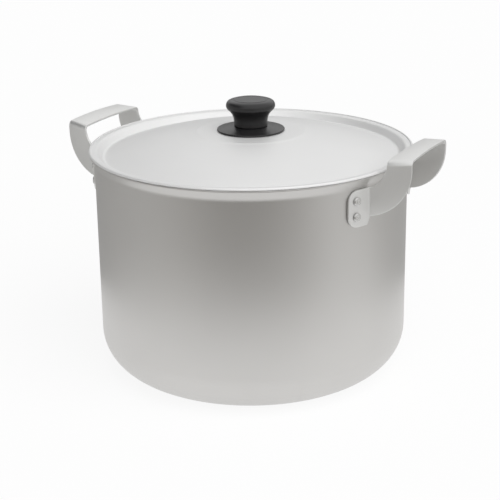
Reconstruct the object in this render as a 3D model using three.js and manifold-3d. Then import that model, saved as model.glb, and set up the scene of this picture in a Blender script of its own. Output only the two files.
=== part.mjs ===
// Deep aluminium cooking pot: a drawn shell with a flared lip, a drop-in lid with a screwed
// knob, and two strap handles held by rivets. Millimetres, +Z up, handles along X, and the
// origin on the surface that the pot stands on, under the middle of its base.
import * as THREE from "three";
import { mergeVertices } from "three/addons/utils/BufferGeometryUtils.js";
import Module from "manifold-3d";

const wasm = await Module();
wasm.setup();

const degrees = THREE.MathUtils.degToRad;
const lerp = THREE.MathUtils.lerp;

// Pot shell, drawn from one sheet
const POT_INNER_RADIUS = 130;
const POT_HEIGHT = 190.6;
const POT_SHEET = 2;
const BASE_CORNER_RADIUS = 35;
const LIP_FLARE_RADIUS = 8.4;
const LIP_FLARE_ANGLE = degrees(55);

// Lid, pressed from a thinner sheet
const LID_SHEET = 1.2;
const LID_OVERHANG = 0.5;
const LID_BEAD_RADIUS = 0.95;
const LID_FLANGE_WIDTH = 6.8;
const LID_RING_DEPTH = 6.5;
const LID_RING_LEAN = degrees(40);
const LID_RING_TOP_RADIUS = 3;
const LID_RING_FOOT_RADIUS = 2.5;
const LID_DOME_RISE = 12.3;
const KNOB_SEAT_RADIUS = 45.5;
const KNOB_SEAT_STEP = 0.7;
const KNOB_SEAT_STEP_RUN = 3;
const KNOB_SEAT_EDGE_RADIUS = 4;

// Knob, with the bush, screw and washer that hold it
const SKIRT_RADIUS = 28.5;
const SKIRT_EDGE = 1.2;
const SKIRT_EDGE_ROUND = 0.6;
const SKIRT_RISE = 3.3;
const SKIRT_SHOULDER = 0.9;
const NECK_RADIUS = 14.07;
const NECK_HEIGHT = 2.1;
const HEAD_RADIUS = 20.65;
const HEAD_BELLY_HEIGHT = 17.05;
const KNOB_HEIGHT = 23.1;
const KNOB_CROWN_RADIUS = 10.8;
const KNOB_CROWN_DROP = 0.8;
const SCREW_RADIUS = 2.5;
const SCREW_HEAD_RADIUS = 4.8;
const SCREW_HEAD_FLAT = 2.4;
const SCREW_HEAD_HEIGHT = 2.8;
const SCREW_HEAD_EDGE = 1.1;
const SCREW_TIP_CHAMFER = 0.6;
const SCREW_BITE = 9;
const BUSH_WALL = 2.2;
const BUSH_LENGTH = 12;
const WASHER_RADIUS = 7.5;
const WASHER_THICKNESS = 1;

// How far along its height each curve of the knob's head keeps to the way it started or ends
const NECK_PULL = 0.744;
const BELLY_UNDER_PULL = 0.278;
const BELLY_OVER_PULL = 0.823;
const CROWN_PULL = 0.568;

// Strap handles
const HANDLE_SHEET = 2.8;
const HANDLE_REACH = 27.3;
const HANDLE_EDGE_ROUND = 0.6;
const BAR_LENGTH = 78.2;
const BAR_WIDTH = 19;
const BAR_RISE = 12.6;
const BAR_TILT = degrees(5);
const BAR_CROWN = 1.2;
const BAR_BEND_RADIUS = 2.6;
const ARM_TOE_IN = degrees(9.5);
const ARM_OUTER_RADIUS = 38;
const ARM_INNER_RADIUS = 22.6;
const ARM_STRAIGHT = 4.6;
const TAB_BEND_RADIUS = 2.5;
const TAB_LENGTH = 19.6;
const TAB_CORNER_RADIUS = 9.5;
const TAB_LIP_GAP = 0.4;
const TAB_FOOT = 6.8;

// Rivets
const RIVET_RADIUS = 2.1;
const RIVET_SPACING = 12.8;
const RIVET_SETBACK = 8.2;
const RIVET_FLAT_RADIUS = 4.6;
const RIVET_FLAT_HEIGHT = 1.3;
const RIVET_FLAT_CHAMFER = 0.7;
const RIVET_FORMED_RADIUS = 3.5;
const RIVET_FORMED_HEIGHT = 1.5;
const RIVET_DIMPLE_RADIUS = 1.6;
const RIVET_DIMPLE_DEPTH = 0.7;

// Clearances and facets
const SEAT_GAP = 0.3;
const HOLE_CLEARANCE = 0.3;
const MERGE_DISTANCE = 1e-4;
const POT_FACETS = 48;
const KNOB_FACETS = 28;
const FASTENER_FACETS = 12;
const ARC_STEPS = 3;
const LARGE_ARC_STEPS = 7;
const SMALL_ARC_STEPS = 2;

const potRadius = POT_INNER_RADIUS + POT_SHEET;
const flareStart =
  POT_HEIGHT - POT_SHEET / 2 - (LIP_FLARE_RADIUS + POT_SHEET / 2) * Math.sin(LIP_FLARE_ANGLE);
const lipMiddle =
  potRadius + LIP_FLARE_RADIUS - (LIP_FLARE_RADIUS + POT_SHEET / 2) * Math.cos(LIP_FLARE_ANGLE);
const lidRadius = lipMiddle + POT_SHEET / 2 + LID_OVERHANG;
const flangeTop = POT_HEIGHT + SEAT_GAP + LID_SHEET;
const knobSeat = flangeTop + LID_DOME_RISE;
const screwHole = SCREW_RADIUS + HOLE_CLEARANCE;
const skirtBottom = knobSeat + SEAT_GAP;
const neckBottom = skirtBottom + SKIRT_RISE + SEAT_GAP;
const bushBottom = neckBottom + SEAT_GAP;
const washerTop = knobSeat - LID_SHEET - SEAT_GAP;
const screwSeat = washerTop - WASHER_THICKNESS - SEAT_GAP;

const spunAluminium = new THREE.MeshStandardMaterial({ color: 0xc4c3c0, roughness: 0.45, metalness: 0.9 });
const pressedAluminium = new THREE.MeshStandardMaterial({ color: 0xd6d6d4, roughness: 0.5, metalness: 0.8 });
const handleGrey = new THREE.MeshStandardMaterial({ color: 0xc3c2bf, roughness: 0.6, metalness: 0.4 });
const rivetAluminium = new THREE.MeshStandardMaterial({ color: 0xc9c9c7, roughness: 0.4, metalness: 0.9 });
const blackPhenolic = new THREE.MeshStandardMaterial({ color: 0x232224, roughness: 0.45, metalness: 0 });
const brass = new THREE.MeshStandardMaterial({ color: 0xb08d4a, roughness: 0.4, metalness: 1 });
const steel = new THREE.MeshStandardMaterial({ color: 0xb4b5b7, roughness: 0.3, metalness: 1 });

const at = (x, y, round = 0) => ({ point: new THREE.Vector2(x, y), round });

// Points on an arc about a centre, from one angle to another, both ends included
function arc(centreX, centreY, radius, from, to, steps) {
  return Array.from({ length: steps + 1 }, (_, i) => {
    const angle = lerp(from, to, i / steps);
    return new THREE.Vector2(centreX + radius * Math.cos(angle), centreY + radius * Math.sin(angle));
  });
}

// A line through corners, with each corner that has a radius turned into an arc
function roundedLine(corners, steps) {
  return corners.flatMap(({ point, round }, i) => {
    if (!round) return [point];
    const back = corners[i - 1].point.clone().sub(point).normalize();
    const onward = corners[i + 1].point.clone().sub(point).normalize();
    const half = Math.acos(back.dot(onward)) / 2;
    const middle = back.clone().add(onward).normalize();
    const centre = point.clone().addScaledVector(middle, round / Math.sin(half));
    const start = point.clone().addScaledVector(back, round / Math.tan(half)).sub(centre);
    const turn = Math.sign(back.cross(onward)) * (Math.PI - 2 * half);
    return arc(centre.x, centre.y, round, start.angle(), start.angle() - turn, steps);
  });
}

// The other face of a bent sheet: each point moved square to the line, to its left if positive
function offsetLine(points, distance) {
  return points.map((point, i) => {
    const before = points[Math.max(i - 1, 0)];
    const after = points[Math.min(i + 1, points.length - 1)];
    const back = point.clone().sub(before).normalize();
    const onward = after.clone().sub(point).normalize();
    const along = back.add(onward).normalize();
    return new THREE.Vector2(point.x - along.y * distance, point.y + along.x * distance);
  });
}

// A solid of revolution about Z from an outline of radius and height
function revolve(outline, facets) {
  return new THREE.LatheGeometry(outline, facets).rotateX(Math.PI / 2);
}

function solidOf(geometry) {
  const bare = geometry.clone();
  bare.deleteAttribute("normal");
  bare.deleteAttribute("uv");
  const merged = mergeVertices(bare, MERGE_DISTANCE);
  const index = merged.getIndex().array;
  const triVerts = [];
  for (let i = 0; i < index.length; i += 3) {
    const [a, b, c] = index.slice(i, i + 3);
    if (a !== b && b !== c && c !== a) triVerts.push(a, b, c);
  }
  const vertProperties = new Float32Array(merged.getAttribute("position").array);
  return new wasm.Manifold(
    new wasm.Mesh({ numProp: 3, vertProperties, triVerts: new Uint32Array(triVerts) }),
  );
}

function geometryOf(solid) {
  const mesh = solid.getMesh();
  const geometry = new THREE.BufferGeometry();
  geometry.setAttribute("position", new THREE.BufferAttribute(mesh.vertProperties, 3));
  geometry.setIndex(new THREE.BufferAttribute(mesh.triVerts, 1));
  geometry.computeVertexNormals();
  return geometry;
}

function cutHoles(geometry, drills) {
  return geometryOf(drills.reduce((solid, drill) => solid.subtract(solidOf(drill)), solidOf(geometry)));
}

// Pot shell: base, round corner, wall and flared lip as one bent sheet
function potBody(rivetDrills) {
  const flare = arc(
    potRadius + LIP_FLARE_RADIUS,
    flareStart,
    LIP_FLARE_RADIUS,
    Math.PI,
    Math.PI - LIP_FLARE_ANGLE,
    ARC_STEPS,
  );
  const base = [at(0, 0), at(potRadius, 0, BASE_CORNER_RADIUS), at(potRadius, flareStart)];
  const outside = [...roundedLine(base, LARGE_ARC_STEPS).slice(0, -1), ...flare];
  const inside = offsetLine(outside, POT_SHEET);
  const lipEnd = outside.at(-1).clone().add(inside.at(-1)).multiplyScalar(0.5);
  const outward = outside.at(-1).clone().sub(lipEnd).angle();
  const lip = arc(lipEnd.x, lipEnd.y, POT_SHEET / 2, outward, outward + Math.PI, ARC_STEPS);
  const outline = [...outside, ...lip.slice(1, -1), ...inside.reverse()];
  return cutHoles(revolve(outline, POT_FACETS), rivetDrills);
}

// Lid: knob seat, dome, sunk ring, flange and rolled bead as one bent sheet
function lidPan() {
  const bead = new THREE.Vector2(lidRadius - LID_BEAD_RADIUS, flangeTop - LID_SHEET + LID_BEAD_RADIUS);
  const ringTop = at(lidRadius - LID_FLANGE_WIDTH, flangeTop, LID_RING_TOP_RADIUS);
  const ringFoot = at(
    ringTop.point.x - LID_RING_DEPTH * Math.tan(LID_RING_LEAN),
    flangeTop - LID_RING_DEPTH,
    LID_RING_FOOT_RADIUS,
  );
  const seatEdge = at(KNOB_SEAT_RADIUS, knobSeat, KNOB_SEAT_EDGE_RADIUS);
  const seatFoot = at(
    KNOB_SEAT_RADIUS + KNOB_SEAT_STEP_RUN,
    knobSeat - KNOB_SEAT_STEP,
    KNOB_SEAT_EDGE_RADIUS,
  );
  const domeCentre =
    (ringFoot.point.lengthSq() - seatFoot.point.lengthSq()) / (2 * (ringFoot.point.y - seatFoot.point.y));
  const domeRadius = Math.hypot(ringFoot.point.x, ringFoot.point.y - domeCentre);
  const angleOf = ({ point }) => Math.atan2(point.y - domeCentre, point.x);
  const dome = arc(0, domeCentre, domeRadius, angleOf(seatFoot), angleOf(ringFoot), LARGE_ARC_STEPS);
  const beadRise = Math.asin((flangeTop - bead.y) / LID_BEAD_RADIUS);
  const roll = arc(bead.x, bead.y, LID_BEAD_RADIUS, Math.PI - beadRise, -Math.PI / 2, LARGE_ARC_STEPS);
  const top = roundedLine(
    [
      at(screwHole, knobSeat),
      seatEdge,
      seatFoot,
      ...dome.slice(1, -1).map(({ x, y }) => at(x, y)),
      ringFoot,
      ringTop,
      at(roll[0].x, roll[0].y),
    ],
    SMALL_ARC_STEPS,
  );
  const under = offsetLine(top, -LID_SHEET).reverse();
  const outline = [...top, ...roll.slice(1), ...under, top[0]];
  return revolve(outline.reverse(), POT_FACETS);
}

// Knob skirt: a sloped disc that stands on the lid's seat
function knobSkirt() {
  const top = skirtBottom + SKIRT_RISE;
  const outline = roundedLine(
    [
      at(screwHole, skirtBottom),
      at(SKIRT_RADIUS, skirtBottom),
      at(SKIRT_RADIUS, skirtBottom + SKIRT_EDGE, SKIRT_EDGE_ROUND),
      at(NECK_RADIUS + SKIRT_SHOULDER, top),
      at(screwHole, top),
      at(screwHole, skirtBottom),
    ],
    ARC_STEPS,
  );
  return revolve(outline, KNOB_FACETS);
}

// Knob head: a straight neck that swells into a flattened ball, bored from below for the bush
function knobHead() {
  const bore = screwHole + BUSH_WALL + HOLE_CLEARANCE;
  const boreTop = bushBottom + BUSH_LENGTH + SEAT_GAP;
  const neckTop = neckBottom + NECK_HEIGHT;
  const belly = neckBottom + HEAD_BELLY_HEIGHT;
  const crown = neckBottom + KNOB_HEIGHT;
  const side = new THREE.Path();
  side.moveTo(NECK_RADIUS, neckTop);
  side.bezierCurveTo(
    NECK_RADIUS,
    lerp(neckTop, belly, NECK_PULL),
    HEAD_RADIUS,
    lerp(belly, neckTop, BELLY_UNDER_PULL),
    HEAD_RADIUS,
    belly,
  );
  side.bezierCurveTo(
    HEAD_RADIUS,
    lerp(belly, crown, BELLY_OVER_PULL),
    lerp(KNOB_CROWN_RADIUS, HEAD_RADIUS, CROWN_PULL),
    crown - KNOB_CROWN_DROP,
    KNOB_CROWN_RADIUS,
    crown - KNOB_CROWN_DROP,
  );
  const outline = [
    new THREE.Vector2(0, boreTop),
    new THREE.Vector2(bore, boreTop),
    new THREE.Vector2(bore, neckBottom),
    new THREE.Vector2(NECK_RADIUS, neckBottom),
    ...side.getPoints(LARGE_ARC_STEPS),
    new THREE.Vector2(0, crown),
  ];
  return revolve(outline, KNOB_FACETS);
}

// Threaded bush moulded into the knob, its bore left plain
function knobBush() {
  const outline = [
    new THREE.Vector2(screwHole, bushBottom),
    new THREE.Vector2(screwHole + BUSH_WALL, bushBottom),
    new THREE.Vector2(screwHole + BUSH_WALL, bushBottom + BUSH_LENGTH),
    new THREE.Vector2(screwHole, bushBottom + BUSH_LENGTH),
    new THREE.Vector2(screwHole, bushBottom),
  ];
  return revolve(outline, KNOB_FACETS);
}

function knobWasher() {
  const outline = [
    new THREE.Vector2(screwHole, washerTop - WASHER_THICKNESS),
    new THREE.Vector2(WASHER_RADIUS, washerTop - WASHER_THICKNESS),
    new THREE.Vector2(WASHER_RADIUS, washerTop),
    new THREE.Vector2(screwHole, washerTop),
    new THREE.Vector2(screwHole, washerTop - WASHER_THICKNESS),
  ];
  return revolve(outline, KNOB_FACETS);
}

// Pan head screw, driven from under the lid up into the bush
function knobScrew() {
  const tip = bushBottom + SCREW_BITE;
  const headBottom = screwSeat - SCREW_HEAD_HEIGHT;
  const pan = new THREE.Path();
  pan.moveTo(0, headBottom);
  pan.lineTo(SCREW_HEAD_FLAT, headBottom);
  pan.quadraticCurveTo(SCREW_HEAD_RADIUS, headBottom, SCREW_HEAD_RADIUS, screwSeat - SCREW_HEAD_EDGE);
  const outline = [
    ...pan.getPoints(ARC_STEPS),
    new THREE.Vector2(SCREW_HEAD_RADIUS, screwSeat),
    new THREE.Vector2(SCREW_RADIUS, screwSeat),
    new THREE.Vector2(SCREW_RADIUS, tip - SCREW_TIP_CHAMFER),
    new THREE.Vector2(SCREW_RADIUS - SCREW_TIP_CHAMFER, tip),
    new THREE.Vector2(0, tip),
  ];
  return revolve(outline, FASTENER_FACETS);
}

// Places on the handle, in a frame with X straight out from the pot and Y along the wall
const tabRadius = potRadius + SEAT_GAP + HANDLE_SHEET / 2;
const tabBend = TAB_BEND_RADIUS + HANDLE_SHEET / 2;
const barBend = BAR_BEND_RADIUS + HANDLE_SHEET / 2;
const barOutside = potRadius + HANDLE_REACH;
const barInside = barOutside - BAR_WIDTH;
const barInsideHeight = POT_HEIGHT + BAR_RISE - HANDLE_SHEET / 2;
const barOutsideHeight = barInsideHeight + BAR_WIDTH * Math.tan(BAR_TILT);
const armNormal = new THREE.Vector3(Math.sin(ARM_TOE_IN), Math.cos(ARM_TOE_IN), 0);
const armOffset =
  barOutside * armNormal.x + (BAR_LENGTH / 2) * armNormal.y - HANDLE_SHEET / 2;
const armAt = (x) => (armOffset - x * armNormal.x) / armNormal.y;
const bendAngle = Math.asin((armOffset + tabBend) / (tabRadius + tabBend)) - ARM_TOE_IN;
const tabEndAngle = bendAngle + TAB_LENGTH / tabRadius;
const rivetAngle = tabEndAngle - RIVET_SETBACK / tabRadius;
const bendCentre = new THREE.Vector3(Math.cos(bendAngle), Math.sin(bendAngle), 0).multiplyScalar(
  tabRadius + tabBend,
);
const armRoot = bendCentre.x - tabBend * armNormal.x;

// Edges of the arm, in its own plane: the inner one hollows round the lip, the outer one is a
// quarter round that ends in a short straight stretch under the bar
const innerCentre = new THREE.Vector2(barInside - ARM_INNER_RADIUS, barInsideHeight);
const innerTop = barInsideHeight - barBend;
const outerCentre = new THREE.Vector2(
  barOutside - ARM_OUTER_RADIUS,
  barOutsideHeight - barBend - ARM_STRAIGHT,
);
const rootTop =
  innerCentre.y - Math.sqrt(ARM_INNER_RADIUS ** 2 - (armRoot - innerCentre.x) ** 2);
const rootFoot =
  outerCentre.y - Math.sqrt(ARM_OUTER_RADIUS ** 2 - (armRoot - outerCentre.x) ** 2);
const tabTop = flareStart - TAB_LIP_GAP;
const tabFoot = rootFoot - TAB_FOOT;
const rivetHeights = { upper: RIVET_SPACING / 2, lower: -RIVET_SPACING / 2 };
const rivetMiddle = (tabTop + tabFoot) / 2;

function armEdges(steps) {
  const inner = new THREE.Path();
  inner.absarc(
    innerCentre.x,
    innerCentre.y,
    ARM_INNER_RADIUS,
    Math.atan2(rootTop - innerCentre.y, armRoot - innerCentre.x),
    -Math.asin((innerCentre.y - innerTop) / ARM_INNER_RADIUS),
  );
  const outer = new THREE.Path();
  outer.absarc(
    outerCentre.x,
    outerCentre.y,
    ARM_OUTER_RADIUS,
    Math.atan2(rootFoot - outerCentre.y, armRoot - outerCentre.x),
    0,
  );
  outer.lineTo(barOutside, barOutsideHeight - barBend);
  return [inner.getSpacedPoints(steps), outer.getSpacedPoints(steps)];
}

// Sections of half a strap, from the free end of its tab to the middle of the bar. Each has a
// point on the strap's upper or inner edge, one on its lower or outer edge, and the way it faces
function halfStrap() {
  const sections = [];
  const onTab = (fromEnd, drop) => {
    const angle = tabEndAngle - fromEnd / tabRadius;
    const facing = new THREE.Vector3(Math.cos(angle), Math.sin(angle), 0);
    const middle = facing.clone().multiplyScalar(tabRadius);
    sections.push({
      inner: new THREE.Vector3(middle.x, middle.y, tabTop - drop),
      outer: new THREE.Vector3(middle.x, middle.y, tabFoot + drop),
      facing,
    });
  };
  for (let i = 0; i <= ARC_STEPS; i++) {
    const turn = (i / ARC_STEPS) * (Math.PI / 2);
    onTab(TAB_CORNER_RADIUS * (1 - Math.cos(turn)), TAB_CORNER_RADIUS * (1 - Math.sin(turn)));
  }
  onTab((TAB_CORNER_RADIUS + TAB_LENGTH) / 2, 0);
  const armAngle = Math.PI / 2 - ARM_TOE_IN;
  for (let i = 0; i <= ARC_STEPS; i++) {
    const part = i / ARC_STEPS;
    const angle = lerp(bendAngle, armAngle, part);
    const facing = new THREE.Vector3(Math.cos(angle), Math.sin(angle), 0);
    const middle = bendCentre.clone().addScaledVector(facing, -tabBend);
    const ease = THREE.MathUtils.smoothstep(part, 0, 1);
    sections.push({
      inner: new THREE.Vector3(middle.x, middle.y, lerp(tabTop, rootTop, ease)),
      outer: new THREE.Vector3(middle.x, middle.y, lerp(tabFoot, rootFoot, ease)),
      facing,
    });
  }
  const [innerEdge, outerEdge] = armEdges(LARGE_ARC_STEPS);
  for (let i = 1; i < LARGE_ARC_STEPS; i++) {
    const onArm = ({ x, y }) => new THREE.Vector3(x, armAt(x), y);
    sections.push({ inner: onArm(innerEdge[i]), outer: onArm(outerEdge[i]), facing: armNormal });
  }
  const barStart = (x) => armAt(x) - barBend;
  const crownAt = (y, x) => BAR_CROWN * (1 - (y / barStart(x)) ** 2);
  const innerX = innerEdge.at(-1).x;
  for (let i = 0; i <= ARC_STEPS; i++) {
    const turn = (i / ARC_STEPS) * (Math.PI / 2);
    const onBend = (x, height) =>
      new THREE.Vector3(x, barStart(x) + barBend * Math.cos(turn), height - barBend * (1 - Math.sin(turn)));
    const facing = armNormal.clone().multiplyScalar(Math.cos(turn));
    facing.x = lerp(facing.x, -Math.sin(BAR_TILT), Math.sin(turn));
    facing.z = Math.sin(turn);
    sections.push({
      inner: onBend(innerX, barInsideHeight),
      outer: onBend(barOutside, barOutsideHeight),
      facing: facing.normalize(),
    });
  }
  for (let i = 1; i <= ARC_STEPS; i++) {
    const part = 1 - i / ARC_STEPS;
    const onBar = (x, height) =>
      new THREE.Vector3(x, part * barStart(x), height + crownAt(part * barStart(x), x));
    sections.push({
      inner: onBar(innerX, barInsideHeight),
      outer: onBar(barOutside, barOutsideHeight),
      facing: new THREE.Vector3(-Math.sin(BAR_TILT), 0, Math.cos(BAR_TILT)),
    });
  }
  return sections;
}

// The eight corners of a strap section with its long edges eased
function strapRing({ inner, outer, facing }) {
  const across = outer.clone().sub(inner).normalize();
  const half = HANDLE_SHEET / 2;
  const flat = half - HANDLE_EDGE_ROUND;
  const corner = (edge, inward, out) =>
    edge.clone().addScaledVector(across, inward).addScaledVector(facing, out);
  return [
    corner(inner, HANDLE_EDGE_ROUND, half),
    corner(outer, -HANDLE_EDGE_ROUND, half),
    corner(outer, 0, flat),
    corner(outer, 0, -flat),
    corner(outer, -HANDLE_EDGE_ROUND, -half),
    corner(inner, HANDLE_EDGE_ROUND, -half),
    corner(inner, 0, -flat),
    corner(inner, 0, flat),
  ];
}

// A closed skin over rings that all have the same number of points
function loft(rings) {
  const sides = rings[0].length;
  const index = [];
  for (let r = 0; r + 1 < rings.length; r++) {
    for (let s = 0; s < sides; s++) {
      const a = r * sides + s;
      const b = r * sides + ((s + 1) % sides);
      index.push(a, a + sides, b, b, a + sides, b + sides);
    }
  }
  const last = (rings.length - 1) * sides;
  for (let s = 1; s + 1 < sides; s++) {
    index.push(0, s, s + 1);
    index.push(last, last + s + 1, last + s);
  }
  const geometry = new THREE.BufferGeometry();
  geometry.setFromPoints(rings.flat());
  geometry.setIndex(index);
  return geometry;
}

const mirrored = ({ inner, outer, facing }) => {
  const flip = new THREE.Vector3(1, -1, 1);
  return {
    inner: inner.clone().multiply(flip),
    outer: outer.clone().multiply(flip),
    facing: facing.clone().multiply(flip),
  };
};

function handleStrap() {
  const half = halfStrap();
  const sections = [...half, ...half.slice(0, -1).reverse().map(mirrored)];
  const drills = rivetPlaces().map(({ angle, height }) => rivetDrill(angle, height));
  return cutHoles(loft(sections.map(strapRing)), drills);
}

// Four rivets for one handle, named by arm and row
function rivetPlaces() {
  return [1, -1].flatMap((side) =>
    Object.entries(rivetHeights).map(([row, offset]) => ({
      row,
      side,
      angle: side * rivetAngle,
      height: rivetMiddle + offset,
    })),
  );
}

// A drill that passes through the wall and the tab on a rivet's axis
function rivetDrill(angle, height) {
  const length = 2 * (POT_SHEET + HANDLE_SHEET + RIVET_FLAT_RADIUS);
  const drill = new THREE.CylinderGeometry(
    RIVET_RADIUS + HOLE_CLEARANCE,
    RIVET_RADIUS + HOLE_CLEARANCE,
    length,
    FASTENER_FACETS,
  );
  drill.rotateZ(-Math.PI / 2);
  drill.translate(tabRadius, 0, 0);
  return drill.rotateZ(angle).translate(0, 0, height);
}

// Rivet: flat head inside the pot, shank through wall and tab, and a formed head with a dimple
function rivet() {
  const facetSag = POT_INNER_RADIUS * (1 - Math.cos(Math.PI / POT_FACETS));
  const headSag = RIVET_FLAT_RADIUS ** 2 / (2 * POT_INNER_RADIUS);
  const flatSeat = POT_INNER_RADIUS - facetSag - headSag - SEAT_GAP;
  const formedSeat = tabRadius + HANDLE_SHEET / 2 + SEAT_GAP;
  const formedTop = formedSeat + RIVET_FORMED_HEIGHT;
  const flatTop = flatSeat - RIVET_FLAT_HEIGHT;
  const formed = new THREE.Path();
  formed.moveTo(RIVET_FORMED_RADIUS, formedSeat);
  formed.quadraticCurveTo(RIVET_FORMED_RADIUS, formedTop, RIVET_DIMPLE_RADIUS, formedTop);
  const outline = [
    new THREE.Vector2(0, flatTop),
    new THREE.Vector2(RIVET_FLAT_RADIUS - RIVET_FLAT_CHAMFER, flatTop),
    new THREE.Vector2(RIVET_FLAT_RADIUS, flatTop + RIVET_FLAT_CHAMFER),
    new THREE.Vector2(RIVET_FLAT_RADIUS, flatSeat),
    new THREE.Vector2(RIVET_RADIUS, flatSeat),
    new THREE.Vector2(RIVET_RADIUS, formedSeat),
    ...formed.getPoints(ARC_STEPS),
    new THREE.Vector2(0, formedTop - RIVET_DIMPLE_DEPTH),
  ];
  return revolve(outline, FASTENER_FACETS).rotateY(Math.PI / 2);
}

function named(name, geometry, material) {
  const mesh = new THREE.Mesh(geometry, material);
  mesh.name = name;
  return mesh;
}

const handleTurns = { right: 0, left: Math.PI };
const allRivetDrills = Object.values(handleTurns).flatMap((turn) =>
  rivetPlaces().map(({ angle, height }) => rivetDrill(angle + turn, height)),
);

const pot = new THREE.Group();
pot.add(named("pot_body", potBody(allRivetDrills), spunAluminium));

const lid = new THREE.Group();
lid.add(named("lid_pan", lidPan(), pressedAluminium));
lid.add(named("knob_head", knobHead(), blackPhenolic));
lid.add(named("knob_skirt", knobSkirt(), blackPhenolic));
lid.add(named("knob_insert", knobBush(), brass));
lid.add(named("knob_screw", knobScrew(), steel));
lid.add(named("knob_washer", knobWasher(), steel));
pot.add(lid);

const strap = handleStrap();
const rivetShape = rivet();
for (const [hand, turn] of Object.entries(handleTurns)) {
  const handle = new THREE.Group();
  handle.rotation.z = turn;
  handle.add(named(`handle_${hand}`, strap, handleGrey));
  for (const { row, side, angle, height } of rivetPlaces()) {
    const arm = side * Math.cos(turn) > 0 ? "back" : "front";
    const one = named(`rivet_${hand}_${arm}_${row}`, rivetShape, rivetAluminium);
    one.rotation.z = angle;
    one.position.z = height;
    handle.add(one);
  }
  pot.add(handle);
}

export default pot;
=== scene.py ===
"""Deep aluminium cooking pot: a spun shell, a drop-in lid with a black knob, and strap handles.

Run as a script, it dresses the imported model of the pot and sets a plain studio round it.
"""

import math
from types import SimpleNamespace

import bmesh
import bpy
from bpy.props import FloatProperty, FloatVectorProperty, IntProperty, PointerProperty
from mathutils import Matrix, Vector
from mathutils.geometry import interpolate_bezier


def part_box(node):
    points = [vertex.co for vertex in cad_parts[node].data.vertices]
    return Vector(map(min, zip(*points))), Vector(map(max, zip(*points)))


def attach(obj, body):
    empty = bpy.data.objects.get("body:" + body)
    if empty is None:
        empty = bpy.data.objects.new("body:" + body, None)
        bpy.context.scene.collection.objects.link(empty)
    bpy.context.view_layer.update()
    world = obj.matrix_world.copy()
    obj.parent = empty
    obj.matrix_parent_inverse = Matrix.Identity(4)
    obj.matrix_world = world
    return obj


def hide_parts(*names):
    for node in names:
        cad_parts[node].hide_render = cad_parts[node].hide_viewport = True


bl_info = {
    "name": "Cooking Pot",
    "version": (1, 0, 0),
    "blender": (4, 5, 0),
    "location": "3D View > Sidebar > Cooking Pot",
    "description": "Models a lidded aluminium cooking pot and a plain studio round it",
    "category": "Object",
}

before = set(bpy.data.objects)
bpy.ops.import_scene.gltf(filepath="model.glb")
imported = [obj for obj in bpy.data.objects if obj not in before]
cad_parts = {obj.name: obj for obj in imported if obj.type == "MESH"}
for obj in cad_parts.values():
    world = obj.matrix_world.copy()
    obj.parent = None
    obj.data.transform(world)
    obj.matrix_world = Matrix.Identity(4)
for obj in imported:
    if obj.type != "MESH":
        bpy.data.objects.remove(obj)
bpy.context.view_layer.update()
pot_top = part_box("pot_body")[1]
head_bottom, head_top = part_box("knob_head")
skirt_bottom, skirt_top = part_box("knob_skirt")
washer_bottom, washer_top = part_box("knob_washer")
screw_bottom, screw_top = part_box("knob_screw")

# How close two places count as one, and which faces and edges count as level or sharp
MERGE_DISTANCE = 1e-6
PLACE_MARGIN = 2e-5
LEVEL_NORMAL = 0.9
SMOOTH_ANGLE = math.radians(35)
RIM_ANGLE = math.radians(60)

# How finely curves and edges are divided
ROUND_PROFILE = 0.5
CORNER_STEP = math.radians(7)
LEAST_CORNER_FACES = 2
LIP_FACES = 4
EASED_FACES = 3
CREST_FACES = 8
TAB_CORNER_FACES = 10
DOME_STEPS = 24
HEAD_POINTS = 14
ARM_STEPS = 14
BEND_STEPS = 7
BAR_STEPS = 10

# The plane that each drawing starts from
START_SIZE = 0.01

# Which way the outside of each sheet looks at its pole
POT_POLE = Vector((0, 0, -1))
LID_POLE = Vector((0, 0, 1))

# How far a tab runs straight past its round corners
TAB_MARGIN = 0.0008

# How far the knob's curves are pulled along their end tangents, as shares of the stretch
NECK_PULL = 0.744
BELLY_UNDER_PULL = 0.278
BELLY_OVER_PULL = 0.823
CROWN_PULL = 0.568

# Patterns of the finishes
DARKER = 0.97
LIGHTER = 1.03
PATCHES_PER_METRE = 14.0
PATCH_DETAIL = 2.0
LINE_DETAIL = 3.0
GRAIN_DETAIL = 4.0
ROUGHNESS_SPREAD = 0.06
RELIEF_DEPTH = 5e-5

# The studio. The cove's tones go by degrees round from its heading, the viewer's right being positive.
WHITE = (1, 1, 1, 1)
FLOOR_SIZE = 12
FLOOR_DROP = 0.0002
FLOOR_GLOW = 0.88
COVE_STEPS = 96
COVE_FOOT = 0.01
COVE_BACK = (0.3, 0.3, 0.3)
COVE_TONES = (
    (-150, (0.38, 0.38, 0.375)),
    (-95, (0.52, 0.515, 0.505)),
    (-70, (0.57, 0.565, 0.555)),
    (-45, (0.51, 0.5, 0.485)),
    (-20, (0.33, 0.32, 0.305)),
    (5, (0.31, 0.3, 0.285)),
    (30, (0.485, 0.475, 0.46)),
    (50, (0.735, 0.73, 0.72)),
    (72, (0.735, 0.73, 0.72)),
    (92, (0.565, 0.56, 0.55)),
    (145, (0.5, 0.5, 0.495)),
)


def length_setting(name, description, metres):
    """A length that the user can set."""
    return FloatProperty(name=name, description=description, default=metres, unit="LENGTH")


def angle_setting(name, description, degrees):
    """An angle that the user can set."""
    return FloatProperty(name=name, description=description, default=math.radians(degrees), subtype="ANGLE")


def colour_setting(name, description, colour):
    """A colour that the user can set."""
    return FloatVectorProperty(name=name, description=description, default=colour, subtype="COLOR")


def place_setting(name, description, place):
    """A place in the room that the user can set."""
    return FloatVectorProperty(name=name, description=description, default=place, unit="LENGTH")


def turn_setting(name, description, degrees):
    """A turn about three axes that the user can set."""
    turn = [math.radians(angle) for angle in degrees]
    return FloatVectorProperty(name=name, description=description, default=turn, subtype="EULER")


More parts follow.
